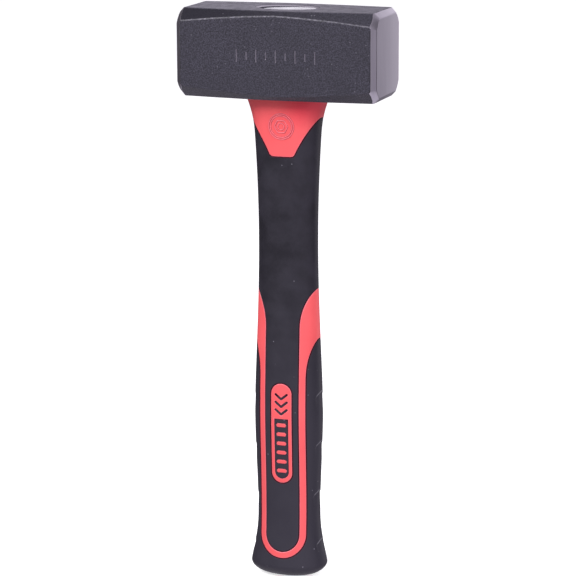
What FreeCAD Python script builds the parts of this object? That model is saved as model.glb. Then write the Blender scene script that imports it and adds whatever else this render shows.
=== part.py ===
"""Lump hammer, 1000 g class: forged steel head on a fibreglass-cored two-component handle.

Millimetres. The handle axis is Z with the head at the top, X runs along the head from one
striking face to the other, and the badge side of the handle faces -Y. The origin is the lowest
point of the butt, on the handle axis.
"""
import FreeCAD, Part

import math
import os

from FreeCAD import Vector

# ---- head -------------------------------------------------------------------------------
OVERALL_LENGTH = 266.0      # butt to top of head
HEAD_LENGTH = 94.0          # striking face to striking face
HEAD_DEPTH = 39.0           # front to back
HEAD_HEIGHT = 40.0
# Legs of the long-edge chamfers by distance from mid-length; flat facets run between them
EDGE_CHAMFERS = ((0.0, 2.1), (12.0, 2.6), (28.0, 3.8), (HEAD_LENGTH / 2, 5.7))
FACE_BEVEL = 2.3            # 45 degree bevel along the sides of each striking face
CORNER_RADIUS = 13.4        # the bevel turns each corner of the face in three facets round this arc,
CORNER_INSET = 13.8         # whose centre lies this far in from the sides of the head
CORNER_ANGLES = (35, 45, 55)

# ---- eye through the head ----------------------------------------------------------------
EYE_HALF_LENGTH = 13.2
EYE_HALF_WIDTH = 8.2
MOUTH_WIDTH = 1.8           # countersink at the top of the eye, measured across
MOUTH_DEPTH = 0.5
RESIN_RECESS = 0.9          # resin surface below the top of the head

# ---- fibreglass core ---------------------------------------------------------------------
CORE_HALF_LENGTH = 10.2
CORE_HALF_WIDTH = 4.9
CORE_BOTTOM = 18.0
CORE_TOP_COVER = 3.5        # resin over the end of the core

# ---- handle ------------------------------------------------------------------------------
SKIN = 1.4                  # thickness of the soft black skins on the red jacket
SECTION_POINTS = 24

# Outer section along the handle: height, half width in X, half depth in Y, squareness
STATIONS = (
    (6.0, 18.0, 12.7, 2.3),     # rim of the butt
    (12.0, 16.9, 12.0, 2.3),
    (21.0, 15.2, 11.1, 2.35),
    (34.0, 14.65, 10.6, 2.35),  # waist above the butt
    (56.0, 15.35, 10.9, 2.35),
    (78.0, 15.9, 11.6, 2.35),   # palm swell
    (100.0, 15.35, 11.0, 2.35),
    (126.0, 14.4, 9.6, 2.35),
    (156.0, 13.8, 8.5, 2.4),    # neck
    (186.0, 14.2, 8.9, 2.5),
    (206.0, 15.0, 9.6, 2.7),
    (217.0, 16.1, 10.4, 2.9),
    (226.0, 18.8, 11.3, 3.1),   # collar under the head
)
BUTT_RIM = STATIONS[0][0]
BUTT_SQUARENESS = 2.9           # profile of the domed butt end, 2 would be an ellipse
BUTT_ANGLES = (82, 66, 48, 28, 12)  # sections of the dome, from its small flat up to the rim

# Red U on the front and back: two stripes that sweep out to the sides at the top
STRIPE_INNER = 8.1
STRIPE_OUTER = 11.15
STRIPE_BEND = 21.4              # height of the centre of the round bottom
INNER_FLARE_START = 120.3
INNER_FLARE_RADIUS = 28.0
OUTER_FLARE_START = 97.0
OUTER_FLARE_RADIUS = 42.0

# Red shield of the collar
SHIELD_SIDE = (16.8, 217.7)
SHIELD_MIDDLE = (10.4, 208.3)
SHIELD_FOOT = (6.3, 200.9)
SHIELD_BOTTOM = 199.3
SHIELD_FOOT_HALF = 4.6

# Badge in the centre panel
BADGE_CENTRE = 70.3
BADGE_HALF_LENGTH = 23.9
BADGE_HALF_WIDTH = 5.1
FIELD_HALF_WIDTH = 3.3
FIELD_TOP = 77.3
FIELD_BOTTOM = 48.6

# Scallops down each narrow side of the grip
SCALLOP_TOP = 88.8              # crown of the highest one
SCALLOP_PITCH = 23.8
SCALLOP_COUNT = 4
SCALLOP_RADIUS = 6.0
SCALLOP_DEPTH = 0.8             # at the crown; the floor rises to the surface at the foot

# ---- worked out from the above -----------------------------------------------------------
HEAD_BOTTOM = OVERALL_LENGTH - HEAD_HEIGHT
HEAD_MIDDLE = OVERALL_LENGTH - HEAD_HEIGHT / 2
REACH = 60.0                    # further out than any part of the handle


def prism(edges, depth):
    """Solid of an outline drawn in the XZ plane, extruded to both sides of it."""
    face = Part.Face(Part.Wire(Part.__sortEdges__(edges)))
    face.translate(Vector(0, -depth, 0))
    return face.extrude(Vector(0, 2 * depth, 0))


def line(start, end):
    return Part.LineSegment(Vector(start[0], 0, start[1]), Vector(end[0], 0, end[1])).toShape()


def arc(start, middle, end):
    points = [Vector(x, 0, z) for x, z in (start, middle, end)]
    return Part.Arc(*points).toShape()


def mirrored(edges):
    """The same edges on the other side of the YZ plane."""
    return [edge.mirror(Vector(0, 0, 0), Vector(1, 0, 0)) for edge in edges]


# ---- head --------------------------------------------------------------------------------
def half_space_cutter(point, normal):
    """A large block whose base lies in the plane and which fills the side of the normal."""
    size = 4 * HEAD_LENGTH
    block = Part.makeBox(size, size, size, Vector(-size / 2, -size / 2, 0))
    block.Placement = FreeCAD.Placement(point, FreeCAD.Rotation(Vector(0, 0, 1), normal))
    return block


def head_facets():
    """Point and outward normal of every flat beyond the six sides of the head, about its centre."""
    half_depth, half_height = HEAD_DEPTH / 2, HEAD_HEIGHT / 2
    for end in (-1, 1):
        face = end * HEAD_LENGTH / 2
        for front in (-1, 1):
            for top in (-1, 1):
                for (x, leg), (next_x, next_leg) in zip(EDGE_CHAMFERS, EDGE_CHAMFERS[1:]):
                    growth = (next_leg - leg) / (next_x - x)
                    yield (Vector(end * x, front * (half_depth - leg), top * half_height),
                           Vector(end * growth, front, top))
                for angle in CORNER_ANGLES:
                    y, z = math.cos(math.radians(angle)), math.sin(math.radians(angle))
                    yield (Vector(face, front * (half_depth - CORNER_INSET + CORNER_RADIUS * y),
                                  top * (half_height - CORNER_INSET + CORNER_RADIUS * z)),
                           Vector(end, front * y, top * z))
            yield Vector(face, front * (half_depth - FACE_BEVEL), 0), Vector(end, front, 0)
        for top in (-1, 1):
            yield Vector(face, 0, top * (half_height - FACE_BEVEL)), Vector(end, 0, top)


def head_block():
    """The forged block: a box with faceted chamfers on its long edges and bevelled ends."""
    block = Part.makeBox(HEAD_LENGTH, HEAD_DEPTH, HEAD_HEIGHT,
                         Vector(-HEAD_LENGTH / 2, -HEAD_DEPTH / 2, HEAD_BOTTOM))
    for point, normal in head_facets():
        block = block.cut(half_space_cutter(point + Vector(0, 0, HEAD_MIDDLE), normal))
    return block


def ellipse_wire(half_length, half_width, height):
    curve = Part.Ellipse(Vector(0, 0, height), half_length, half_width)
    return Part.Wire([curve.toShape()])


def eye_prism(bottom, top):
    face = Part.Face(ellipse_wire(EYE_HALF_LENGTH, EYE_HALF_WIDTH, bottom))
    return face.extrude(Vector(0, 0, top - bottom))


def make_head():
    mouth = Part.makeLoft([
        ellipse_wire(EYE_HALF_LENGTH, EYE_HALF_WIDTH, OVERALL_LENGTH - MOUTH_DEPTH),
        ellipse_wire(EYE_HALF_LENGTH + MOUTH_WIDTH, EYE_HALF_WIDTH + MOUTH_WIDTH, OVERALL_LENGTH),
    ], True, True)
    return head_block().cut(eye_prism(HEAD_BOTTOM, OVERALL_LENGTH)).cut(mouth)


# ---- core and resin ----------------------------------------------------------------------
def make_core():
    """Pultruded glass-fibre rod from the butt up into the eye."""
    top = OVERALL_LENGTH - RESIN_RECESS - CORE_TOP_COVER
    face = Part.Face(ellipse_wire(CORE_HALF_LENGTH, CORE_HALF_WIDTH, CORE_BOTTOM))
    return face.extrude(Vector(0, 0, top - CORE_BOTTOM))


def make_resin(core):
    """Cast resin that locks the core into the eye."""
    return eye_prism(HEAD_BOTTOM, OVERALL_LENGTH - RESIN_RECESS).cut(core)


# ---- handle ------------------------------------------------------------------------------
def section_wire(height, half_width, half_depth, squareness):
    """Closed superellipse across the handle."""
    points = []
    for step in range(SECTION_POINTS):
        angle = 2 * math.pi * step / SECTION_POINTS
        cosine, sine = math.cos(angle), math.sin(angle)
        points.append(Vector(
            math.copysign(half_width * abs(cosine) ** (2 / squareness), cosine),
            math.copysign(half_depth * abs(sine) ** (2 / squareness), sine),
            height))
    curve = Part.BSplineCurve()
    curve.interpolate(points, PeriodicFlag=True)
    return Part.Wire([curve.toShape()])


def handle_skin(inset):
    """The handle's outer shape, moved inwards all round by the inset."""
    sections = []
    rim, rim_width, rim_depth, rim_squareness = STATIONS[0]
    flat = math.sin(math.radians(BUTT_ANGLES[0]))
    for angle in BUTT_ANGLES:
        drop = math.sin(math.radians(angle)) / flat
        scale = math.cos(math.radians(angle)) ** (2 / BUTT_SQUARENESS)
        sections.append(section_wire(rim - (rim - inset) * drop,
                                     (rim_width - inset) * scale, (rim_depth - inset) * scale,
                                     rim_squareness))
    for height, half_width, half_depth, squareness in STATIONS:
        sections.append(section_wire(height, half_width - inset, half_depth - inset, squareness))
    return Part.makeLoft(sections, True, False)


def u_edges(half_width, flare_start, flare_radius):
    """Outline of a U from the top of its left flare, round the bottom, to the right one."""
    flare_end = (half_width + flare_radius, flare_start + flare_radius)
    eighth = flare_radius * (1 - math.sqrt(0.5))
    flare_middle = (half_width + eighth, flare_start + flare_radius * math.sqrt(0.5))
    right = [arc(flare_end, flare_middle, (half_width, flare_start)),
             line((half_width, flare_start), (half_width, STRIPE_BEND))]
    bottom = arc((half_width, STRIPE_BEND), (0, STRIPE_BEND - half_width),
                 (-half_width, STRIPE_BEND))
    return right + [bottom] + mirrored(right), flare_end


def u_prism(half_width, flare_start, flare_radius, top):
    """Everything inside and above the U."""
    edges, (end_x, end_z) = u_edges(half_width, flare_start, flare_radius)
    side = [line((end_x, end_z), (end_x, top))]
    return prism(edges + side + mirrored(side) + [line((end_x, top), (-end_x, top))], REACH)


def shield_prism():
    """Everything above the lower edge of the collar's shield."""
    top = OVERALL_LENGTH
    right = [line((REACH, top), (REACH, SHIELD_SIDE[1])),
             line((REACH, SHIELD_SIDE[1]), SHIELD_SIDE),
             arc(SHIELD_SIDE, SHIELD_MIDDLE, SHIELD_FOOT),
             line(SHIELD_FOOT, (SHIELD_FOOT_HALF, SHIELD_BOTTOM))]
    closing = [line((SHIELD_FOOT_HALF, SHIELD_BOTTOM), (-SHIELD_FOOT_HALF, SHIELD_BOTTOM)),
               line((REACH, top), (-REACH, top))]
    return prism(right + mirrored(right) + closing, REACH)


def badge_prism():
    """Stadium outline of the badge."""
    straight = BADGE_HALF_LENGTH - BADGE_HALF_WIDTH
    low, high = BADGE_CENTRE - straight, BADGE_CENTRE + straight
    width = BADGE_HALF_WIDTH
    return prism([line((width, low), (width, high)),
                  arc((width, high), (0, high + width), (-width, high)),
                  line((-width, high), (-width, low)),
                  arc((-width, low), (0, low - width), (width, low))], REACH)


def field_prism():
    """Outline of the black field in the lower part of the badge."""
    width, bend = FIELD_HALF_WIDTH, FIELD_BOTTOM + FIELD_HALF_WIDTH
    return prism([line((width, bend), (width, FIELD_TOP)),
                  line((width, FIELD_TOP), (-width, FIELD_TOP)),
                  line((-width, FIELD_TOP), (-width, bend)),
                  arc((-width, bend), (0, FIELD_BOTTOM), (width, bend))], REACH)


def half_width_at(height):
    """Half width of the handle, straight between the stations."""
    for low, high in zip(STATIONS, STATIONS[1:]):
        if low[0] <= height <= high[0]:
            return low[1] + (high[1] - low[1]) * (height - low[0]) / (high[0] - low[0])
    raise ValueError(height)


def scallop_cutters():
    """Tilted discs that bite an arched ledge into the narrow sides of the grip."""
    cutters = []
    for index in range(SCALLOP_COUNT):
        crown = SCALLOP_TOP - index * SCALLOP_PITCH
        floor = half_width_at(crown) - SCALLOP_DEPTH
        foot = max(crown - 2 * SCALLOP_RADIUS, BUTT_RIM)
        tilt = math.atan2(half_width_at(foot) - floor, crown - foot)
        disc = Part.makeCylinder(SCALLOP_RADIUS, 10 * SCALLOP_DEPTH,
                                 Vector(0, 0, -SCALLOP_RADIUS), Vector(1, 0, 0))
        disc.rotate(Vector(0, 0, 0), Vector(0, 1, 0), -math.degrees(tilt))
        disc.translate(Vector(floor, 0, crown))
        cutters += [disc, disc.mirror(Vector(0, 0, 0), Vector(1, 0, 0))]
    return cutters


def make_handle(core):
    """Jacket, the two soft skins and the two badge fields."""
    outer = handle_skin(0.0)
    shell = outer.cut(handle_skin(SKIN))
    badge = badge_prism()
    field = field_prism()
    inside_u = u_prism(STRIPE_INNER, INNER_FLARE_START, INNER_FLARE_RADIUS, HEAD_BOTTOM)
    outside_u = u_prism(STRIPE_OUTER, OUTER_FLARE_START, OUTER_FLARE_RADIUS, OVERALL_LENGTH)

    upper_skin = shell.common(inside_u).cut(shield_prism()).cut(badge)
    lower_skin = shell.cut(outside_u)
    for cutter in scallop_cutters():
        lower_skin = lower_skin.cut(cutter)
    fields = shell.common(field)
    front_field, back_field = sorted(fields.Solids, key=lambda solid: solid.CenterOfMass.y)

    jacket = outer.cut(shell.cut(outside_u)).cut(upper_skin)
    jacket = jacket.cut(front_field).cut(back_field).cut(core)
    return {
        "handle_jacket": jacket,
        "upper_soft_skin": upper_skin,
        "lower_soft_grip": lower_skin,
        "front_badge_field": front_field,
        "back_badge_field": back_field,
    }


def single_solid(name, shape):
    solids = shape.Solids
    if len(solids) != 1:
        raise ValueError(f"{name} has {len(solids)} solids")
    return solids[0]


def main():
    core = make_core()
    nodes = {
        "head": make_head(),
        "eye_resin": make_resin(core),
        "fibreglass_core": core,
    }
    nodes.update(make_handle(core))
    os.makedirs("parts", exist_ok=True)
    for name, shape in nodes.items():
        solid = single_solid(name, shape)
        box = solid.BoundBox
        print(f"{name:18s} valid {solid.isValid()}  volume {solid.Volume / 1000:8.2f} cm3  "
              f"x {box.XMin:7.2f} {box.XMax:7.2f}  y {box.YMin:7.2f} {box.YMax:7.2f}  "
              f"z {box.ZMin:7.2f} {box.ZMax:7.2f}  faces {len(solid.Faces)}")
        solid.exportStep(f"parts/{name}.step")


main()
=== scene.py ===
"""Looks of the lump hammer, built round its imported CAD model.

The scene is in metres and in the CAD's frame: +Z up the handle to the head, +X along the head,
-Y towards the front. Shapes are worked out in millimetres and turned into metres when a mesh is
made. The handle's skin is one closed surface; the outlines of its colours are cut into it, and
each moulding is lifted off it as a closed solid with rounded edges.
"""

import math

import bmesh
import bpy
import numpy as np
from mathutils import Matrix, Vector


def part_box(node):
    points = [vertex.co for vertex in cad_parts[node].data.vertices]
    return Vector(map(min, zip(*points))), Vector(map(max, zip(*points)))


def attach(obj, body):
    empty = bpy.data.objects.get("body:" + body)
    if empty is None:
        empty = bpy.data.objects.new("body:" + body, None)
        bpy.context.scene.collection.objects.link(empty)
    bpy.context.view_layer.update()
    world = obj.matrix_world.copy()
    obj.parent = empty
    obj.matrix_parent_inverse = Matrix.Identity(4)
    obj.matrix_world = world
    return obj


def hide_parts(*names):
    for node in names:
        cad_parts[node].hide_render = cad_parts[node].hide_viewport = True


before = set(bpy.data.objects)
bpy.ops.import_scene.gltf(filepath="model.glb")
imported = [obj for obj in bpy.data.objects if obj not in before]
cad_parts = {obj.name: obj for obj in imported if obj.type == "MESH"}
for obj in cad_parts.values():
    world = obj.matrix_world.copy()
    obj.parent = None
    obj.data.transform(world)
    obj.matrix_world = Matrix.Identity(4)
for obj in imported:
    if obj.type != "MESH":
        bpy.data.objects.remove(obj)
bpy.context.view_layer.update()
MM = 0.001

# ---- driving dimensions, millimetres ---------------------------------------------------------
HEAD_LOW, HEAD_HIGH = [np.array(corner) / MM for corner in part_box("head")]
HEAD_MIDDLE = (HEAD_LOW[2] + HEAD_HIGH[2]) / 2
HALF_LENGTH, HALF_DEPTH = HEAD_HIGH[0], HEAD_HIGH[1]
CHAMFER_LEG = ((0.0, 2.1), (12.0, 2.6), (28.0, 3.8), (47.0, 5.7))   # X and leg along the long edges
FACE_BEVEL = 2.3                # ground bevel round each striking face
CORNER_RADIUS, CORNER_INSET = 13.4, 13.8      # the bevel turns each corner round this arc
CORNER_ANGLES = (35, 45, 55)    # of the facets that turn it, in degrees
HEAD_EDGE, GRIND_EDGE = 0.4, 0.3              # radii of the head's rounded edges
LENGTHWISE = 0.09               # the most by which a long facet's normal turns to the ends
COATED, GROUND = 0, 1           # material indices of the head

EYE_HALF_LENGTH, EYE_HALF_WIDTH = 13.2, 8.2
MOUTH_WIDTH, MOUTH_DEPTH = 1.8, 0.5           # countersink of the eye
RESIN_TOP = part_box("eye_resin")[1].z / MM
RESIN_SLOPE = 0.03              # rise of its top per millimetre towards +X

TICK_COUNT, TICK_PITCH, TICK_HALF_HEIGHT, TICK_DEPTH = 9, 4.6, 2.7, 0.2
TICK_CENTRE = (0.8, 246.0)      # X and Z of the row's middle

# Outer section along the handle: height, half width in X, half depth in Y, squareness
STATIONS = np.array((
    (6.0, 18.0, 12.7, 2.3),
    (12.0, 16.9, 12.0, 2.3),
    (21.0, 15.2, 11.1, 2.35),
    (34.0, 14.65, 10.6, 2.35),
    (56.0, 15.35, 10.9, 2.35),
    (78.0, 15.9, 11.6, 2.35),
    (100.0, 15.35, 11.0, 2.35),
    (126.0, 14.4, 9.6, 2.35),
    (156.0, 13.8, 8.5, 2.4),
    (186.0, 14.2, 8.9, 2.5),
    (206.0, 15.0, 9.6, 2.7),
    (217.0, 16.1, 10.4, 2.9),
    (226.0, 18.8, 11.3, 3.1),
))
RIM = STATIONS[0, 0]            # widest part of the butt; below it the end is a dome
BUTT_SQUARENESS = 2.9
BUTT_LAST_ANGLE = 82            # the dome stops here, in degrees, with a small flat foot
BUTT_FLAT = math.sin(math.radians(BUTT_LAST_ANGLE))
COLLAR_TOP = STATIONS[-1, 0]
SKIN = 1.4                      # thickness of the soft mouldings
GROOVE = 0.42                   # edge radius of each moulding, half of a V groove

STRIPE_BEND = 21.4              # height of the centre of the U's round bottom
INNER_U = (8.1, 120.3, 28.0)    # half width, where the flare starts, radius of the flare
OUTER_U = (11.15, 97.0, 42.0)
BADGE_CENTRE, BADGE_HALF_LENGTH, BADGE_HALF_WIDTH = 70.3, 23.9, 5.1
FIELD_TOP, FIELD_BOTTOM, FIELD_HALF_WIDTH = 77.3, 48.6, 3.3
CHEVRON_FEET = (79.6, 83.2, 86.8)
CHEVRON_REACH, CHEVRON_RISE, CHEVRON_HALF_STROKE = 2.7, 2.2, 0.5
BAR_COUNT, LOWEST_BAR, HIGHEST_BAR = 6, 52.4, 74.4
BAR_REACH, BAR_HALF_STROKE = 1.5, 0.95

EMBLEM_CENTRE = 213.3           # rings and nut outline embossed on the collar
EMBLEM_RINGS, NUT_RADIUS = (5.85, 5.0, 1.5), 3.2
BEAD_RADIUS, BEAD_SIDES, BEAD_SHADE = 0.27, 8, 0.8

LEDGE_TOP, LEDGE_PITCH, LEDGE_COUNT, LEDGE_RADIUS = 88.8, 23.8, 4, 8.0
LEDGE_DEPTH, LEDGE_STEP, LEDGE_FADE = 0.55, 0.5, 9.0
LEDGE_HALF_WIDTH, LEDGE_SIDE_FADE = 5.8, 2.2
LEDGE_LIP = (-0.65, -0.4, -0.12, 0.17)        # where the painted highlight on the lip starts, is full, and ends
LEDGE_LEVELS = (-0.65, -0.4, -0.12, 0.0, 0.17, 0.33, 0.5, 1.1)     # rows of points across a ledge

COLUMNS, ROWS, DOME_ROWS = 112, 250, 12       # of the handle's skin
SNAP = 0.012                    # a point this near to a cut counts as on it


# ---- the handle's surface --------------------------------------------------------------------
def natural_cubic(heights, values):
    """Smooth curve through the stations, as a function of height."""
    step = np.diff(heights)
    slope = np.diff(values) / step
    count = len(heights)
    matrix = np.eye(count)
    right = np.zeros(count)
    for i in range(1, count - 1):
        matrix[i, i - 1:i + 2] = step[i - 1], 2 * (step[i - 1] + step[i]), step[i]
        right[i] = 6 * (slope[i] - slope[i - 1])
    bend = np.linalg.solve(matrix, right)

    def value(z):
        z = np.clip(z, heights[0], heights[-1])
        i = np.clip(np.searchsorted(heights, z) - 1, 0, count - 2)
        low, high = z - heights[i], heights[i + 1] - z
        return ((bend[i] * high ** 3 + bend[i + 1] * low ** 3) / (6 * step[i])
                + (values[i] / step[i] - bend[i] * step[i] / 6) * high
                + (values[i + 1] / step[i] - bend[i + 1] * step[i] / 6) * low)
    return value


half_width, half_depth, squareness = [
    natural_cubic(STATIONS[:, 0], STATIONS[:, column]) for column in (1, 2, 3)]


def butt_scale(z):
    """Size of a section against the rim's, one above it and shrinking down the dome."""
    drop = np.clip((RIM - z) / RIM, 0, 1) * BUTT_FLAT
    return (1 - drop ** 2) ** (1 / BUTT_SQUARENESS)


def ring(turn, z):
    """Points of the outer skin at an angle round the handle and a height."""
    power = 2 / squareness(z)
    scale = butt_scale(z)
    cosine, sine = np.cos(turn), np.sin(turn)
    return np.stack([half_width(z) * scale * np.sign(cosine) * np.abs(cosine) ** power,
                     half_depth(z) * scale * np.sign(sine) * np.abs(sine) ** power,
                     z + 0 * turn], axis=-1)


def level(points):
    """Zero on the outer skin, positive outside it."""
    x, y, z = np.asarray(points).T
    scale = butt_scale(z)
    power = squareness(z)
    across = np.abs(x / (half_width(z) * scale)) ** power
    return across + np.abs(y / (half_depth(z) * scale)) ** power - 1


def onto_skin(points):
    """Points moved straight out from the axis onto the outer skin."""
    points = np.array(points, float)
    factor = (level(points) + 1) ** (-1 / squareness(points[:, 2]))
    points[:, :2] *= factor[:, None]
    return points


def normals(points):
    """Outward unit normals of the outer skin."""
    step = 0.02
    found = np.stack([level(points + np.eye(3)[axis] * step) - level(points - np.eye(3)[axis] * step)
                      for axis in range(3)], axis=-1)
    return found / np.maximum(np.linalg.norm(found, axis=1), 1e-9)[:, None]


def inset(points, depth):
    """Points of the outer skin moved inwards by a depth, which may differ from point to point."""
    x, y, z = np.asarray(points).T
    sink = np.where(z < RIM, RIM - (RIM - depth) * (RIM - z) / RIM, z)
    return np.stack([x * (1 - depth / half_width(z)), y * (1 - depth / half_depth(z)), sink], axis=-1)


# ---- outlines drawn on the front and back, positive inside ---------------------------------------
def to_segment(x, z, start, end):
    """Distance to a straight stroke."""
    dx, dz = end[0] - start[0], end[1] - start[1]
    along = np.clip(((x - start[0]) * dx + (z - start[1]) * dz) / (dx * dx + dz * dz), 0, 1)
    return np.hypot(x - start[0] - along * dx, z - start[1] - along * dz)


def shield_outline():
    """Lower edge of the collar's shield from far out on the right to the middle."""
    side, middle, foot, bottom = (16.8, 217.7), (10.4, 208.3), (6.3, 200.9), 199.3
    corner_width, corner_height = 2.2, 2.0
    points = [(60.0, side[1]), side]
    for t in np.linspace(0, 1, 9)[1:]:      # a curve through the middle point
        one, two, three = (1 - t) * (1 - 2 * t), 4 * t * (1 - t), t * (2 * t - 1)
        points.append((one * side[0] + two * middle[0] + three * foot[0],
                       one * side[1] + two * middle[1] + three * foot[1]))
    for angle in (25, 40, 55, 70, 90):      # round corner of the foot
        points.append((foot[0] - corner_width + corner_width * math.cos(math.radians(angle)),
                       bottom + corner_height - corner_height * math.sin(math.radians(angle))))
    return points + [(0.0, bottom)]


SHIELD = shield_outline()


def shield(x, z):
    """The red collar with its point down the neck."""
    x = np.abs(x)
    away = np.min([to_segment(x, z, a, b) for a, b in zip(SHIELD, SHIELD[1:])], axis=0)
    corners = np.array(SHIELD[::-1])
    return np.where(z > np.interp(x, corners[:, 0], corners[:, 1]), away, -away)


def u_shape(x, z, shape):
    """A tall U whose sides flare outwards round an arc above the start of the flare."""
    width, flare_start, radius = shape
    x = np.abs(x)
    inside = width - np.hypot(x, np.minimum(z - STRIPE_BEND, 0))
    flare = np.hypot(x - width - radius, z - flare_start) - radius
    return np.where(z > flare_start, flare, inside)


def inner_u(x, z):
    return u_shape(x, z, INNER_U)


def outer_u(x, z):
    return u_shape(x, z, OUTER_U)


def badge(x, z):
    """Upright oval with straight sides."""
    beyond = np.maximum(np.abs(z - BADGE_CENTRE) - (BADGE_HALF_LENGTH - BADGE_HALF_WIDTH), 0)
    return BADGE_HALF_WIDTH - np.hypot(x, beyond)


def field(x, z):
    """Black island in the lower part of the badge, round below and square above."""
    below = np.maximum(FIELD_BOTTOM + FIELD_HALF_WIDTH - z, 0)
    return np.minimum(FIELD_HALF_WIDTH - np.hypot(x, below), FIELD_TOP - z)


def chevrons(x, z):
    """Three black V strokes in the upper part of the badge."""
    strokes = [to_segment(np.abs(x), z, (0.0, foot), (CHEVRON_REACH, foot + CHEVRON_RISE))
               for foot in CHEVRON_FEET]
    return CHEVRON_HALF_STROKE - np.min(strokes, axis=0)


def bars(x, z):
    """Red cross bars in the black field of the badge."""
    strokes = [to_segment(x, z, (-BAR_REACH, height), (BAR_REACH, height))
               for height in np.linspace(LOWEST_BAR, HIGHEST_BAR, BAR_COUNT)]
    return BAR_HALF_STROKE - np.min(strokes, axis=0)


def ledge(points):
    """How far a point lies below the nearest scallop's arched ledge; negative above it."""
    y, z = points[:, 1], points[:, 2]
    arch = z + y ** 2 / (2 * LEDGE_RADIUS)
    below = LEDGE_TOP - arch
    index = np.clip(np.round(below / LEDGE_PITCH), 0, LEDGE_COUNT - 1)
    return below - index * LEDGE_PITCH


def along_skin(outline, points):
    """An outline's distance measured along the skin, which slopes away from the drawing plane."""
    x, z = points[:, 0], points[:, 2]
    step = 0.01
    gradient = np.stack([(outline(x + step, z) - outline(x - step, z)) / (2 * step), 0 * x,
                         (outline(x, z + step) - outline(x, z - step)) / (2 * step)], axis=-1)
    normal = normals(points)
    tangent = gradient - normal * np.sum(gradient * normal, axis=1)[:, None]
    steepest = 0.25                         # keeps the edges where the skin turns away from running wide
    return outline(x, z) / np.clip(np.linalg.norm(tangent, axis=1), steepest, 1)


# ---- a surface that outlines can be cut into --------------------------------------------------------
class Sheet:
    """Polygons on the outer skin."""

    def __init__(self, columns, rows):
        turns = self.even_turns(columns)
        dome = RIM * (1 - np.sin(np.radians(np.linspace(BUTT_LAST_ANGLE, 0, DOME_ROWS))) / BUTT_FLAT)
        heights = np.concatenate([dome, np.linspace(RIM, COLLAR_TOP, rows + 1)[1:]])
        self.points = np.concatenate([ring(turns, np.full(columns, z)) for z in heights])
        self.faces = []
        for row in range(len(heights) - 1):
            for column in range(columns):
                beside = (column + 1) % columns
                low, high = row * columns, (row + 1) * columns
                self.faces.append((low + column, low + beside, high + beside, high + column))
        self.foot = list(range(columns))
        self.top = list(range(len(self.points) - columns, len(self.points)))

    @staticmethod
    def even_turns(columns):
        """Angles that space the points evenly round a middle section."""
        fine, middle = np.linspace(0, 2 * np.pi, 4001), 100.0
        points = ring(fine, np.full(len(fine), middle))
        length = np.concatenate([[0], np.cumsum(np.linalg.norm(np.diff(points, axis=0), axis=1))])
        return np.interp(np.arange(columns) / columns * length[-1], length, fine)

    def cut(self, values, height):
        """Splits every polygon that the line values == height crosses."""
        value = values(self.points) - height
        value[np.abs(value) < SNAP] = 0.0
        crossing = {}
        fresh = []
        faces = []
        for face in self.faces:
            here = [value[i] for i in face]
            if min(here) >= 0 or max(here) <= 0:
                faces.append(face)
                continue
            above, below = [], []
            for k, a in enumerate(face):
                b = face[(k + 1) % len(face)]
                if value[a] >= 0:
                    above.append(a)
                if value[a] <= 0:
                    below.append(a)
                if value[a] * value[b] < 0:
                    key = (min(a, b), max(a, b))
                    if key not in crossing:
                        share = value[key[0]] / (value[key[0]] - value[key[1]])
                        start, end = self.points[key[0]], self.points[key[1]]
                        crossing[key] = len(self.points) + len(fresh)
                        fresh.append(start + share * (end - start))
                    above.append(crossing[key])
                    below.append(crossing[key])
            faces += [tuple(part) for part in (above, below) if len(part) > 2]
        if fresh:
            self.points = np.concatenate([self.points, onto_skin(np.array(fresh))])
        self.faces = faces

    def centres(self):
        return np.array([self.points[list(face)].mean(axis=0) for face in self.faces])


def edge_levels(radius):
    """Distances from an outline at which the round edge needs a row of points."""
    return [radius * share for share in (-1, -0.6, -0.3, -0.08, 0, 0.08, 0.3, 0.6, 1)]


OUTLINES = {
    "shield": (shield, GROOVE),
    "inner_u": (inner_u, GROOVE),
    "outer_u": (outer_u, GROOVE),
    "badge": (badge, GROOVE),
    "field": (field, 0.22),
    "chevrons": (chevrons, 0.16),
    "bars": (bars, 0.2),
}


def on_sides(points):
    """True for points on the narrow sides, outside the stripes."""
    return outer_u(points[:, 0], points[:, 2]) < 0


def cut_sheet():
    """The handle's skin with rows of points along every outline and ledge."""
    sheet = Sheet(COLUMNS, ROWS)
    for outline, radius in OUTLINES.values():
        for height in edge_levels(radius):
            sheet.cut(lambda points: along_skin(outline, points), height)
    for height in LEDGE_LEVELS:
        sheet.cut(lambda points: np.where(on_sides(points), ledge(points), LEDGE_FADE), height)
    return sheet


# ---- pieces ------------------------------------------------------------------------------------
def finish_piece(piece, slot, *nodes):
    """Attaches the piece to the root body and hides the CAD nodes that it stands for; slot is not used.
    """
    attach(piece, "root")
    if nodes:
        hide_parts(*nodes)


def mesh_piece(name, points, faces, *materials, seam=None):
    """A smooth-shaded mesh object from points in millimetres; the optional per-point values give painted
    shade (above zero) or a painted highlight (below zero).
    """
    mesh = bpy.data.meshes.new(name)
    mesh.from_pydata((np.asarray(points) * MM).tolist(), [], [list(face) for face in faces])
    if seam is not None:
        mesh.attributes.new("seam", "FLOAT", "POINT").data.foreach_set("value", seam.astype(np.float32))
    mesh.validate()
    for material in materials:
        mesh.materials.append(material)
    mesh.shade_smooth()
    piece = bpy.data.objects.new(name, mesh)
    bpy.context.scene.collection.objects.link(piece)
    return piece


def applied(piece):
    """Replaces the piece's mesh with the result of its modifiers."""
    graph = bpy.context.evaluated_depsgraph_get()
    mesh = bpy.data.meshes.new_from_object(piece.evaluated_get(graph))
    piece.modifiers.clear()
    piece.data = mesh


def smooth_step(value):
    value = np.clip(value, 0, 1)
    return value * value * (3 - 2 * value)


def open_edges(faces):
    """Directed edges that only one of the polygons uses."""
    directed = {(a, b) for face in faces for a, b in zip(face, face[1:] + face[:1])}
    return [(a, b) for a, b in sorted(directed) if (b, a) not in directed]


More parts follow.
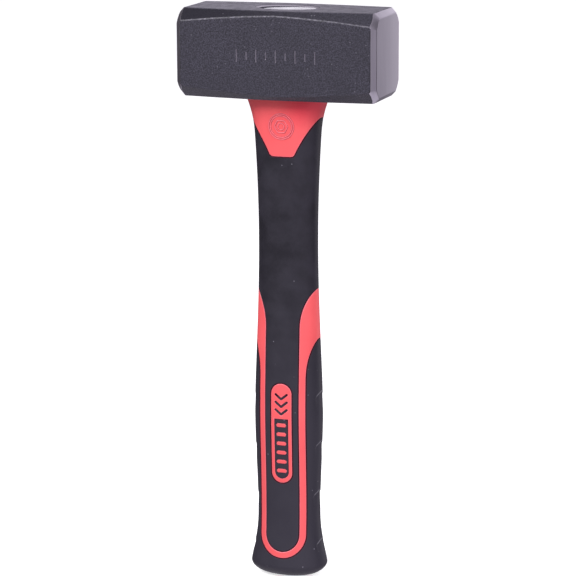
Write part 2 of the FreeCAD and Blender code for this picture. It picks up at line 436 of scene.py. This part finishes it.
def lofted(rings):
    """A closed solid through rings of points of the same count, with flat ends."""
    columns = len(rings[0])
    faces = [tuple(reversed(range(columns)))]
    for row in range(len(rings) - 1):
        low, high = row * columns, (row + 1) * columns
        for k in range(columns):
            beside = (k + 1) % columns
            faces.append((low + k, low + beside, high + beside, high + k))
    faces.append(tuple(range((len(rings) - 1) * columns, len(rings) * columns)))
    return np.concatenate(rings), faces


# ---- handle ----------------------------------------------------------------------------------------
class Seams:
    """Rounded edges and seam shading along chosen outlines."""

    def __init__(self, points):
        self.distance = {name: np.abs(along_skin(outline, points))
                         for name, (outline, _) in OUTLINES.items()}

    def depth(self, *names):
        """How far a quarter-round edge along each outline drops below the skin."""
        found = []
        for name in names:
            radius = OUTLINES[name][1]
            over = radius - np.clip(self.distance[name], 0, radius)
            found.append(radius - np.sqrt(np.maximum(radius ** 2 - over ** 2, 0)))
        return np.max(found, axis=0)

    def shade(self, *names):
        """One at the outlines, fading to zero where their round edges begin."""
        return np.max([np.clip(1 - self.distance[name] / OUTLINES[name][1], 0, 1)
                       for name in names], axis=0)


def closed_skin(points, faces, outer_depth, shade):
    """A closed solid from the given depth under the outer skin down to the jacket's bed."""
    used = sorted({i for face in faces for i in face})
    index = {old: new for new, old in enumerate(used)}
    count = len(used)
    outer = inset(points[used], outer_depth[used])
    inner = inset(points[used], np.full(count, SKIN))
    shell = [tuple(index[i] for i in face) for face in faces]
    back = [tuple(index[i] + count for i in reversed(face)) for face in faces]
    walls = [(b, a, a + count, b + count) for a, b in open_edges(shell)]
    shades = np.concatenate([shade[used], np.ones(count)])
    return np.concatenate([outer, inner]), shell + back + walls, shades


def along_ledge(points):
    """One along the middle of the ledges, fading to zero at their ends and off the narrow sides."""
    return on_sides(points) * smooth_step((LEDGE_HALF_WIDTH - np.abs(points[:, 1])) / LEDGE_SIDE_FADE)


def scallop_depth(points):
    """Bite of the scallops: deepest just under each ledge, fading downwards and to both sides."""
    below = ledge(points)
    fade = np.clip(1 - below / LEDGE_FADE, 0, 1) ** 1.5
    return LEDGE_DEPTH * smooth_step(below / LEDGE_STEP) * fade * along_ledge(points)


def painted_lip_highlight(points):
    """One along the lip just above each scallop's ledge, where a highlight is painted; zero elsewhere."""
    return np.interp(ledge(points), LEDGE_LIP, (0, 1, 1, 0)) * along_ledge(points)


def zones(sheet):
    """Which polygons belong to which moulding."""
    centres = sheet.centres()
    x, z = centres[:, 0], centres[:, 2]
    inside = {name: outline(x, z) > 0 for name, (outline, _) in OUTLINES.items()}
    upper = inside["inner_u"] & ~inside["shield"] & ~inside["badge"]
    lower = ~inside["outer_u"]
    chevron = inside["chevrons"] & inside["badge"] & ~inside["field"]
    inlay = inside["field"] & ~inside["bars"] | chevron
    front = centres[:, 1] < 0
    found = {"upper": upper, "lower": lower, "front_inlay": inlay & front, "back_inlay": inlay & ~front}
    return {name: [sheet.faces[i] for i in np.nonzero(mask)[0]] for name, mask in found.items()}


def jacket_solid(sheet, soft, depth, shade, core):
    """The red moulding: its lifted zones, the bed under the soft skins, and the core's blind bore."""
    points, count, columns = sheet.points, len(sheet.points), len(sheet.top)
    covered = {face for faces in soft.values() for face in faces}
    red = [face for face in sheet.faces if face not in covered]
    bed = [tuple(i + count for i in face) for face in covered]
    bed.append(tuple(i + count for i in reversed(sheet.foot)))
    top = set(sheet.top)
    walls = [(b, a, a + count, b + count) for a, b in open_edges(red) if not {a, b} <= top]
    low, high = core
    turns = np.arctan2(points[sheet.top, 1] / high[1], points[sheet.top, 0] / high[0])
    rim = np.stack([high[0] * np.cos(turns), high[1] * np.sin(turns),
                    np.full(columns, COLLAR_TOP)], axis=-1)
    floor = rim * (1, 1, 0) + (0, 0, low[2])
    rim_at, floor_at = 2 * count, 2 * count + columns
    cap = []
    for k in range(columns):
        beside = (k + 1) % columns
        cap.append((sheet.top[k], sheet.top[beside], rim_at + beside, rim_at + k))
        cap.append((rim_at + k, rim_at + beside, floor_at + beside, floor_at + k))
    cap.append(tuple(range(floor_at, floor_at + columns)))
    bed_points = inset(points, np.full(count, SKIN))
    faces = red + bed + walls + cap
    used = sorted({i for face in faces for i in face})
    index = {old: new for new, old in enumerate(used)}
    every = np.concatenate([inset(points, depth), bed_points, rim, floor])
    shades = np.concatenate([shade, np.ones(count), np.zeros(2 * columns)])
    return every[used], [tuple(index[i] for i in face) for face in faces], shades[used]


def build_handle(red, black):
    sheet = cut_sheet()
    points = sheet.points
    seams = Seams(points)
    soft = zones(sheet)

    def soft_moulding(name, node, faces, depth, shade):
        solid, sides, seam = closed_skin(points, faces, depth, shade)
        finish_piece(mesh_piece(name, solid, sides, black, seam=seam), "black_soft_plastic", node)

    borders = ("shield", "inner_u", "badge")
    soft_moulding("upper_soft_overmould", "upper_soft_skin", soft["upper"],
                  seams.depth(*borders), seams.shade(*borders))
    foot = tuple(reversed(sheet.foot))
    soft_moulding("lower_soft_overmould", "lower_soft_grip", soft["lower"] + [foot],
                  seams.depth("outer_u") + scallop_depth(points),
                  seams.shade("outer_u") - painted_lip_highlight(points))
    borders = ("field", "bars", "chevrons")
    for side in ("front", "back"):
        soft_moulding(f"{side}_badge_inlay", f"{side}_badge_field", soft[f"{side}_inlay"],
                      seams.depth(*borders), seams.shade(*borders))
    core = [np.array(corner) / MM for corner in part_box("fibreglass_core")]
    solid, sides, seam = jacket_solid(sheet, soft, seams.depth(*OUTLINES), seams.shade(*OUTLINES), core)
    finish_piece(mesh_piece("red_jacket", solid, sides, red, seam=seam), "red_plastic", "handle_jacket")


def bead(name, path, side, material):
    """A fine raised line that follows a closed path on the front or back of the collar."""
    x, z = np.asarray(path).T
    power = squareness(z)
    depth = half_depth(z) * (1 - np.abs(x / half_width(z)) ** power) ** (1 / power)
    points = np.stack([x, side * depth, z], axis=-1)
    outwards = normals(points)
    along = np.roll(points, -1, axis=0) - np.roll(points, 1, axis=0)
    across = np.cross(outwards, along)
    across /= np.linalg.norm(across, axis=1)[:, None]
    turns = np.arange(BEAD_SIDES) / BEAD_SIDES * 2 * np.pi
    rings = [points + BEAD_RADIUS * (math.cos(turn) * across + math.sin(turn) * outwards)
             for turn in turns]
    count = len(points)
    faces = []
    for k in range(BEAD_SIDES):
        for i in range(count):
            j, low, high = (i + 1) % count, k * count, (k + 1) % BEAD_SIDES * count
            faces.append((low + i, low + j, high + j, high + i))
    # painted shade on the bead's sides, where it meets the collar
    shade = np.repeat(np.abs(np.cos(turns)) * BEAD_SHADE, count)
    finish_piece(mesh_piece(name, np.concatenate(rings), faces, material, seam=shade), "red_plastic")


def build_emblem(material):
    """Two rings round a nut outline with its hole, front and back."""
    def circle(count):
        turns = np.linspace(0, 2 * np.pi, count, endpoint=False)
        return np.stack([np.cos(turns), np.sin(turns)], axis=-1)

    lines = {f"ring_{k}": radius * circle(72) for k, radius in enumerate(EMBLEM_RINGS)}
    corners = NUT_RADIUS * circle(6)
    along = np.linspace(0.06, 0.94, 6)[:, None]         # stops short of the corners, which rounds them
    lines["nut"] = np.concatenate([a + (b - a) * along
                                   for a, b in zip(corners, np.roll(corners, -1, axis=0))])
    for side, label in ((-1, "front"), (1, "back")):
        for name, path in lines.items():
            bead(f"{label}_emblem_{name}", path + (0, EMBLEM_CENTRE), side, material)


# ---- head --------------------------------------------------------------------------------------------
def slice_off(solid, point, normal):
    """Cuts away what lies beyond a plane and closes the cut."""
    cut = bmesh.ops.bisect_plane(solid, geom=solid.verts[:] + solid.edges[:] + solid.faces[:],
                                 plane_co=point, plane_no=normal, clear_outer=True, dist=1e-5)
    edges = [item for item in cut["geom_cut"] if isinstance(item, bmesh.types.BMEdge)]
    bmesh.ops.contextual_create(solid, geom=edges)


def head_planes():
    """Point and outward normal of every facet beyond the six flats."""
    half_height = HEAD_HIGH[2] - HEAD_MIDDLE
    for end in (-1, 1):
        face = end * HALF_LENGTH
        for front in (-1, 1):
            for top in (-1, 1):
                for (x, leg), (beyond, wider) in zip(CHAMFER_LEG, CHAMFER_LEG[1:]):
                    growth = (wider - leg) / (beyond - x)
                    place = (end * x, front * (HALF_DEPTH - leg), top * half_height)
                    yield place, (end * growth, front, top)
                for angle in CORNER_ANGLES:
                    y, z = math.cos(math.radians(angle)), math.sin(math.radians(angle))
                    place = (face, front * (HALF_DEPTH - CORNER_INSET + CORNER_RADIUS * y),
                             top * (half_height - CORNER_INSET + CORNER_RADIUS * z))
                    yield place, (end, front * y, top * z)
            yield (face, front * (HALF_DEPTH - FACE_BEVEL), 0), (end, front, 0)
        for top in (-1, 1):
            yield (face, 0, top * (half_height - FACE_BEVEL)), (end, 0, top)


def is_ground(normal):
    """True for the striking faces and their bevels, which are ground bare."""
    return abs(normal.x) > 0.5


def ellipse_ring(grow, z, columns=96):
    turns = np.arange(columns) / columns * 2 * np.pi
    return np.stack([(EYE_HALF_LENGTH + grow) * np.cos(turns), (EYE_HALF_WIDTH + grow) * np.sin(turns),
                     np.full(columns, z)], axis=-1)


def eye_plug():
    """A plug in the shape of the eye with its countersunk mouth."""
    beyond, lip = 1.0, 0.12
    profile = [(0.0, HEAD_LOW[2] - beyond), (0.0, HEAD_HIGH[2] - MOUTH_DEPTH),
               (MOUTH_WIDTH - 2 * lip, HEAD_HIGH[2] - lip), (MOUTH_WIDTH + lip, HEAD_HIGH[2] + lip),
               (MOUTH_WIDTH + lip, HEAD_HIGH[2] + beyond)]
    return lofted([ellipse_ring(grow, z) for grow, z in profile])


def countersunk(normal):
    """True for the eye's countersink, which is cut through the coating."""
    return abs(abs(normal.z) - MOUTH_WIDTH / math.hypot(MOUTH_WIDTH, MOUTH_DEPTH)) < 0.06


def tick_punches():
    """A row of plain tapered ticks, long and short by turns, reaching into the front cheek."""
    # Y, half width and extra half height at the bottom of the punch, and out in front of the cheek
    ends = (-HALF_DEPTH + TICK_DEPTH, 0.05, -0.1), (-HALF_DEPTH - 1.0, 1.25, 0.9)
    points, faces = [], []
    for k in range(TICK_COUNT):
        x = TICK_CENTRE[0] + (k - (TICK_COUNT - 1) / 2) * TICK_PITCH
        tall = TICK_HALF_HEIGHT * (1.0 if k % 2 == 0 else 0.6)
        tick, sides = lofted([np.array([(x + sx * half, y, TICK_CENTRE[1] + sz * (tall + extra))
                                        for sx, sz in ((-1, -1), (1, -1), (1, 1), (-1, 1))])
                              for y, half, extra in ends])
        faces += [tuple(i + len(points) * len(tick) for i in side) for side in sides]
        points.append(tick)
    return np.concatenate(points), faces


def tilt(normal):
    """Degrees by which a lengthwise surface of the head leans from its cheek towards its top or foot."""
    return math.degrees(math.atan2(abs(normal.z), abs(normal.y)))


def mark_edges(mesh):
    """Marks worn edges, the smoother upper facets (also darkened by painted shade), the burr beside the
    grinding, and the thin flats.
    """
    marks = {name: np.zeros(len(mesh.polygons), np.float32)
             for name in ("wear", "facet", "burr", "thin")}
    for i, face in enumerate(mesh.polygons):
        lean, up = tilt(face.normal), face.normal.z > 0
        endwise = abs(face.normal.x)
        if endwise < LENGTHWISE:
            if 3 < lean < 42:               # rounded edge between cheek and facet
                marks["wear"][i] = 0.7 if up else 0.2
            elif 48 < lean < 87:            # between facet and flat
                marks["wear"][i] = 0.3 if up else 0.1
            marks["facet"][i] = up and 42 <= lean <= 48
        marks["burr"][i] = LENGTHWISE <= endwise < 0.6
        marks["thin"][i] = abs(face.normal.z) > 0.99
    for name, values in marks.items():
        mesh.attributes.new(name, "FLOAT", "FACE").data.foreach_set("value", values)


def faceted_block():
    """Mesh of the forging before its eye is cut; a weight on each edge says how far it is rounded."""
    solid = bmesh.new()
    bmesh.ops.create_cube(solid, size=2.0)
    half_height = HEAD_HIGH[2] - HEAD_MIDDLE
    bmesh.ops.scale(solid, vec=(HALF_LENGTH, HALF_DEPTH, half_height), verts=solid.verts)
    for point, normal in head_planes():
        slice_off(solid, point, normal)
    bmesh.ops.recalc_face_normals(solid, faces=solid.faces)
    bmesh.ops.translate(solid, vec=(0, 0, HEAD_MIDDLE), verts=solid.verts)
    solid.normal_update()
    weight = solid.edges.layers.float.new("bevel_weight_edge")
    for face in solid.faces:
        face.material_index = GROUND if is_ground(face.normal) else COATED
    for edge in solid.edges:
        grounds = sum(is_ground(face.normal) for face in edge.link_faces)
        striking = any(abs(face.normal.x) > 0.99 for face in edge.link_faces)
        radius = {0: HEAD_EDGE, 1: GRIND_EDGE, 2: GRIND_EDGE if striking else 0.0}[grounds]
        shallow = edge.calc_face_angle() < math.radians(12)
        edge[weight] = 0.0 if shallow else radius / HEAD_EDGE
    bmesh.ops.scale(solid, vec=(MM, MM, MM), verts=solid.verts)
    mesh = bpy.data.meshes.new("forged_head")
    solid.to_mesh(mesh)
    solid.free()
    return mesh


def cut_away(head, plug):
    """Subtracts a plug from the head, then removes the plug."""
    cut = head.modifiers.new(plug.name, "BOOLEAN")
    cut.operation = "DIFFERENCE"
    cut.solver = "EXACT"
    cut.object = plug
    applied(head)
    bpy.data.objects.remove(plug)


def flatten_facets(mesh):
    """Flat shading on flats, bevels and long facets; the corner facets stay smooth among themselves."""
    facets = [Vector(normal).normalized() for _, normal in head_planes()]
    facets = [normal for normal in facets if min(abs(normal.x), abs(normal.y), abs(normal.z)) < 0.2]
    facets += [sign * axis for axis in Matrix.Identity(3) for sign in (-1, 1)]
    mesh.shade_smooth()
    mesh.set_sharp_from_angle(angle=math.radians(30))
    for face in mesh.polygons:
        if max(face.normal.dot(facet) for facet in facets) > 0.99995:
            face.use_smooth = False


def build_head(coating, ground):
    """The forging with rounded edges, its eye and its ticks."""
    head = bpy.data.objects.new("forged_head", faceted_block())
    head.data.materials.append(coating)
    head.data.materials.append(ground)
    bpy.context.scene.collection.objects.link(head)
    bevel = head.modifiers.new("edges", "BEVEL")
    bevel.limit_method = "WEIGHT"
    bevel.width = HEAD_EDGE * MM
    bevel.segments = 3
    applied(head)
    mark_edges(head.data)
    for name, maker in (("eye", eye_plug), ("ticks", tick_punches)):
        plug = mesh_piece(name, *maker(), coating, ground)
        for face in plug.data.polygons:
            bare = maker is tick_punches or countersunk(face.normal)
            face.material_index = GROUND if bare else COATED
        cut_away(head, plug)
    flatten_facets(head.data)
    finish_piece(head, "forged_steel", "head")


def build_resin(resin):
    """Resin in the eye, wetting its wall, and a little higher on the right as it was poured."""
    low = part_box("eye_resin")[0].z / MM
    meniscus = (1.0, 0.08), (0.99, 0.04), (0.965, 0.02), (0.92, 0.0), (0.6, -0.03), (0.3, -0.05)
    rings = [ellipse_ring(0.0, low)]
    for scale, height in meniscus:
        ring_points = ellipse_ring(0.0, RESIN_TOP + height) * (scale, scale, 1)
        ring_points[:, 2] += RESIN_SLOPE * ring_points[:, 0]
        rings.append(ring_points)
    finish_piece(mesh_piece("cured_resin", *lofted(rings), resin), "cast_resin", "eye_resin")


# ---- materials -----------------------------------------------------------------------------------------
class Look:
    """A node tree with short ways to add and join nodes; coordinates are in metres."""

    def __init__(self, owner, end):
        owner.use_nodes = True
        self.owner, self.tree = owner, owner.node_tree
        self.end = self.tree.nodes[end]
        self.place = self.add("ShaderNodeTexCoord").outputs["Object"]

    def add(self, kind, **settings):
        node = self.tree.nodes.new(kind)
        for name, value in settings.items():
            setattr(node, name, value)
        return node

    def feed(self, socket, value):
        if isinstance(value, bpy.types.NodeSocket):
            self.tree.links.new(value, socket)
        elif isinstance(value, tuple) and len(value) == 3 and len(socket.default_value) == 4:
            socket.default_value = (*value, 1.0)
        else:
            socket.default_value = value

    def stretched(self, x, y, z):
        node = self.add("ShaderNodeMapping")
        self.feed(node.inputs["Vector"], self.place)
        self.feed(node.inputs["Scale"], (x, y, z))
        return node.outputs["Vector"]

    def noise(self, scale, detail=2.0, roughness=0.5, place=None):
        node = self.add("ShaderNodeTexNoise")
        self.feed(node.inputs["Vector"], place or self.place)
        for name, value in (("Scale", scale), ("Detail", detail), ("Roughness", roughness)):
            self.feed(node.inputs[name], value)
        return node.outputs["Fac"]

    def cells(self, scale):
        node = self.add("ShaderNodeTexVoronoi")
        self.feed(node.inputs["Vector"], self.place)
        self.feed(node.inputs["Scale"], scale)
        return node.outputs["Distance"]

    def remap(self, value, low, high, to_low=0.0, to_high=1.0):
        node = self.add("ShaderNodeMapRange", interpolation_type="SMOOTHSTEP")
        for name, number in (("Value", value), ("From Min", low), ("From Max", high),
                             ("To Min", to_low), ("To Max", to_high)):
            self.feed(node.inputs[name], number)
        return node.outputs["Result"]

    def math(self, operation, one, two):
        node = self.add("ShaderNodeMath", operation=operation)
        self.feed(node.inputs[0], one)
        self.feed(node.inputs[1], two)
        return node.outputs["Value"]

    def times(self, one, two):
        return self.math("MULTIPLY", one, two)

    def split(self, vector):
        """X, Y and Z of a vector."""
        node = self.add("ShaderNodeSeparateXYZ")
        self.feed(node.inputs[0], vector)
        return node.outputs

    def mix(self, share, one, two):
        node = self.add("ShaderNodeMix", data_type="RGBA")
        self.feed(node.inputs[0], share)
        self.feed(node.inputs[6], one)
        self.feed(node.inputs[7], two)
        return node.outputs[2]

    def attribute(self, name):
        return self.add("ShaderNodeAttribute", attribute_name=name).outputs["Fac"]

    def bump(self, height, distance, strength):
        node = self.add("ShaderNodeBump")
        for name, value in (("Height", height), ("Distance", distance), ("Strength", strength)):
            self.feed(node.inputs[name], value)
        return node.outputs["Normal"]

    def set(self, **inputs):
        for name, value in inputs.items():
            self.feed(self.end.inputs[name.replace("_", " ")], value)
        return self.owner


def surface(name):
    return Look(bpy.data.materials.new(name), "Principled BSDF")


def red_plastic():
    look = surface("red_plastic")
    deep, bright, painted_shadow_colour = (0.87, 0.108, 0.118), (0.93, 0.122, 0.132), (0.8, 0.035, 0.065)
    rim, painted_groove_shade = (0.92, 0.3, 0.4), (0.08, 0.004, 0.01)
    flow = look.noise(70, 3.0)
    grain = look.noise(2600, 2.0)
    colour = look.mix(look.remap(flow, 0.3, 0.7), deep, bright)
    x, _, z = look.split(look.place)
    # painted shadow: the collar darker and a deeper red just under the head, most on its right side
    painted_head_shadow = look.times(look.remap(z, 0.21, 0.224, 0.0, 0.85), look.remap(x, -0.004, 0.012))
    colour = look.mix(painted_head_shadow, colour, painted_shadow_colour)
    seam = look.attribute("seam")
    # painted highlight: a light pink line along the outer part of the red's rounded edges
    colour = look.mix(look.remap(seam, 0.0, 0.3, 0.0, 0.45), colour, rim)
    # painted shade: the red turns dark in the grooves along its outlines and on the sides of the emblem's
    # beads
    colour = look.mix(look.remap(seam, 0.4, 0.85), colour, painted_groove_shade)
    return look.set(Base_Color=colour, Roughness=look.remap(grain, 0.2, 0.8, 0.36, 0.5),
                    IOR=1.45, Normal=look.bump(grain, 0.00003, 0.35))


def soft_black():
    look = surface("soft_black")
    dark, light, painted_light = (0.0135, 0.0122, 0.0182), (0.0242, 0.0218, 0.0322), (0.034, 0.031, 0.044)
    painted_groove_shade, rubbed, dusty = (0.045, 0.003, 0.01), (0.15, 0.145, 0.17), (0.2, 0.19, 0.23)
    patch = look.noise(85, 4.0, 0.6)
    grain = look.noise(3200, 3.0, 0.6)
    colour = look.mix(look.remap(patch, 0.3, 0.75), dark, light)
    _, _, z = look.split(look.place)
    painted_light_share = look.remap(z, 0.06, 0.16, 0.9, 0.0)  # painted light: paler towards the bottom of the grip
    colour = look.mix(painted_light_share, colour, painted_light)
    seam = look.attribute("seam")               # above zero for painted shade in grooves, below zero for a painted highlight on the scallops' lips
    sunk = look.remap(seam, 0.0, 0.3)
    # painted shade in the grooves, tinted by a painted reflection of the red beside them
    colour = look.mix(sunk, colour, painted_groove_shade)
    # painted highlight: a light grey line on the lip above each scallop's ledge
    colour = look.mix(look.remap(seam, -0.2, -0.9), colour, rubbed)
    dust = look.times(look.remap(look.cells(260), 0.04, 0.09, 0.9, 0.0),
                      look.remap(look.noise(60, 1.0), 0.5, 0.6))
    colour = look.mix(dust, colour, dusty)
    height = look.math("ADD", grain, look.times(look.cells(2300), 0.6))
    return look.set(Base_Color=colour, Roughness=look.remap(patch, 0.3, 0.7, 0.46, 0.58), IOR=1.42,
                    Specular_IOR_Level=look.math("SUBTRACT", 0.5, look.times(sunk, 0.4)),
                    Normal=look.bump(height, 0.00005, 0.5))


def head_coating():
    look = surface("head_coating")
    dark, light, cloudy = (0.0125, 0.0115, 0.0192), (0.0545, 0.0505, 0.0735), (0.021, 0.0195, 0.029)
    smooth, thinned, rubbed = (0.014, 0.013, 0.019), (0.17, 0.16, 0.195), (0.15, 0.14, 0.17)
    scale_marks = look.noise(1700, 3.0, 0.6)
    grit = look.noise(3000, 2.0)
    colour = look.mix(look.remap(scale_marks, 0.36, 0.66), dark, light)
    colour = look.mix(look.remap(look.noise(60, 3.0), 0.3, 0.7, 0.0, 0.3), colour, cloudy)
    x, _, _ = look.split(look.place)
    # painted shade: the upper facets get the darker smooth colour, more so towards -X
    facet = look.times(look.attribute("facet"), look.remap(x, -0.04, 0.04, 1.5, 0.7))
    colour = look.mix(look.times(facet, 0.6), colour, smooth)
    drawn = look.noise(1.0, 3.0, 0.6, look.stretched(90, 900, 90))
    thin = look.times(look.attribute("thin"), look.remap(drawn, 0.3, 0.7, 0.45, 1.1))
    thin = look.times(thin, look.remap(look.noise(330, 3.0), 0.35, 0.65, 0.65, 1.2))
    # the coat on the flats is thin and lighter; past that, painted light makes it lighter towards -X
    thin = look.times(thin, look.remap(x, -0.04, 0.04, 1.1, 0.82))
    colour = look.mix(thin, colour, thinned)
    specks = look.remap(look.cells(330), 0.05, 0.14, 1.0, 0.0)
    specks = look.times(specks, look.remap(look.noise(120, 1.0), 0.48, 0.57))
    rub = look.times(look.attribute("wear"), look.remap(look.noise(1100, 3.0), 0.38, 0.62, 0.1, 1.0))
    rub = look.times(rub, look.remap(look.noise(250, 2.0), 0.38, 0.6, 0.4, 1.05))
    rub = look.math("MAXIMUM", rub, look.times(specks, 0.8))
    colour = look.mix(rub, colour, rubbed)
    chips = look.times(look.attribute("burr"), look.remap(look.noise(420, 2.0), 0.4, 0.55))
    colour = look.mix(chips, colour, (0.004, 0.003, 0.006))
    height = look.math("ADD", scale_marks, look.times(grit, 0.35))
    rough = look.math("SUBTRACT", look.remap(grit, 0.2, 0.8, 0.46, 0.62), look.times(facet, 0.1))
    gloss = look.math("SUBTRACT", 0.5, look.times(facet, 0.22))
    return look.set(Base_Color=colour, Metallic=look.times(rub, 0.6), Roughness=rough,
                    Specular_IOR_Level=gloss, Normal=look.bump(height, 0.00012, 0.6))


def ground_steel():
    look = surface("ground_steel")
    dull, plain = (0.37, 0.345, 0.4), (0.44, 0.415, 0.47)
    scratched, painted_light_steel = (0.58, 0.55, 0.61), (0.72, 0.69, 0.75)
    lines = look.noise(1.0, 3.0, 0.7, look.stretched(2500, 2500, 45))
    broad = look.noise(1.0, 2.0, 0.5, look.stretched(160, 160, 25))
    colour = look.mix(look.remap(broad, 0.25, 0.75), dull, plain)
    colour = look.mix(look.remap(lines, 0.3, 0.75, 0.0, 0.4), colour, scratched)
    _, y, _ = look.split(look.place)
    back = look.remap(y, -0.012, 0.018, 0.0, 0.8)       # painted light: brighter towards +Y
    colour = look.mix(back, colour, painted_light_steel)
    return look.set(Base_Color=colour, Metallic=1.0, Roughness=look.remap(lines, 0.2, 0.8, 0.28, 0.42),
                    Normal=look.bump(lines, 0.00003, 0.5))


def cast_resin():
    look = surface("cast_resin")
    cloud = look.noise(160, 3.0)
    bubbles = look.remap(look.cells(650), 0.0, 0.16, 1.0, 0.0)
    colour = look.mix(look.remap(cloud, 0.3, 0.7), (0.84, 0.82, 0.89), (0.92, 0.91, 0.96))
    colour = look.mix(look.times(bubbles, 0.5), colour, (0.66, 0.64, 0.71))
    return look.set(Base_Color=colour, Roughness=look.remap(cloud, 0.3, 0.7, 0.12, 0.22),
                    Normal=look.bump(look.math("SUBTRACT", cloud, bubbles), 0.0002, 0.5))


def fibreglass():
    look = surface("fibreglass")
    strands = look.noise(1.0, 3.0, 0.6, look.stretched(1800, 1800, 40))
    colour = look.mix(look.remap(strands, 0.3, 0.7), (0.58, 0.5, 0.27), (0.78, 0.72, 0.5))
    return look.set(Base_Color=colour, Roughness=look.remap(strands, 0.2, 0.8, 0.3, 0.5),
                    Normal=look.bump(strands, 0.0001, 0.5))


def pale_floor():
    look = surface("pale_floor")
    colour = look.mix(look.remap(look.noise(6, 2.0), 0.3, 0.7), (0.78, 0.78, 0.785), (0.8, 0.8, 0.8))
    return look.set(Base_Color=colour, Roughness=0.9,
                    Emission_Color=(1.0, 1.0, 1.0), Emission_Strength=0.62)


# ---- stage ---------------------------------------------------------------------------------------------
def build_floor():
    """A pale lit table that only the camera sees, so the studio alone shows in the gloss."""
    reach = 40.0            # metres, so that its edge never shows
    mesh = bpy.data.meshes.new("floor")
    corners = [(-reach, -reach, 0), (reach, -reach, 0), (reach, reach, 0), (-reach, reach, 0)]
    mesh.from_pydata(corners, [], [(0, 1, 2, 3)])
    mesh.materials.append(pale_floor())
    floor = bpy.data.objects.new("floor", mesh)
    floor.visible_glossy = False
    floor.visible_diffuse = False
    bpy.context.scene.collection.objects.link(floor)


def soft_box(name, place, aim, size, power):
    lamp = bpy.data.lights.new(name, "AREA")
    lamp.shape = "RECTANGLE"
    lamp.size, lamp.size_y = size
    lamp.energy = power
    box = bpy.data.objects.new(name, lamp)
    box.location = place
    box.rotation_euler = (Vector(aim) - Vector(place)).to_track_quat("-Z", "Y").to_euler()
    bpy.context.scene.collection.objects.link(box)
    return box


def build_lights():
    """A studio, bright from below and dim on the left, at the far right and overhead, and two lamps."""
    world = bpy.data.worlds.new("studio")
    bpy.context.scene.world = world
    look = Look(world, "Background")
    direction = look.add("ShaderNodeTexCoord").outputs["Generated"]
    x, y, z = look.split(direction)
    rise = look.remap(look.math("ADD", x, look.times(z, 1.2)), -0.4, 0.7, 0.1, 0.98)
    right = look.remap(x, 0.5, 0.8, 1.0, look.remap(y, -0.25, 0.2, 0.6, 0.14))
    ceiling = look.remap(z, 0.45, 0.9, 1.0, look.remap(x, -0.45, -0.2, 0.1, 0.5))
    walls = look.times(look.times(rise, right), ceiling)
    below = look.remap(z, -0.35, -0.7)
    light = look.math("MAXIMUM", walls, look.times(below, 0.95))
    look.set(Color=look.mix(light, (0.0, 0.0, 0.0), (1.0, 0.945, 1.06)), Strength=1.0)
    middle = (0, 0, HEAD_MIDDLE * MM / 2)
    soft_box("key", (-0.65, -0.95, 1.15), middle, (0.7, 0.7), 22)
    fill = soft_box("fill", (1.15, -0.45, 0.8), middle, (0.6, 0.6), 11)
    fill.visible_glossy = False         # only brightens, so that it leaves no glint on the ground steel


def build_camera():
    """Camera in front of the hammer, a little to its right and above the middle of the handle."""
    azimuth, pitch, roll = 0.32932, 0.21958, -0.003383              # radians
    distance, aim_height, aim_side = 1.15218, 0.13684, -0.00033     # metres
    back = Vector((math.sin(azimuth) * math.cos(pitch), -math.cos(azimuth) * math.cos(pitch),
                   math.sin(pitch)))
    right = Vector((math.cos(azimuth), math.sin(azimuth), 0))
    up = back.cross(right)
    right, up = (math.cos(roll) * right + math.sin(roll) * up,
                 math.cos(roll) * up - math.sin(roll) * right)
    lens = bpy.data.cameras.new("camera")
    lens.sensor_width, lens.lens = 36.0, 156.58                     # millimetres
    camera = bpy.data.objects.new("camera", lens)
    place = Vector((0, 0, aim_height)) + aim_side * right + distance * back
    turn = Matrix((right, up, back)).transposed().to_4x4()
    camera.matrix_world = Matrix.Translation(place) @ turn
    bpy.context.scene.collection.objects.link(camera)
    bpy.context.scene.camera = camera


bpy.context.scene.view_settings.view_transform = "Standard"
red = red_plastic()
build_head(head_coating(), ground_steel())
build_resin(cast_resin())
build_handle(red, soft_black())
build_emblem(red)
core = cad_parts["fibreglass_core"]
core.data.materials.clear()
core.data.materials.append(fibreglass())
build_floor()
build_lights()
build_camera()
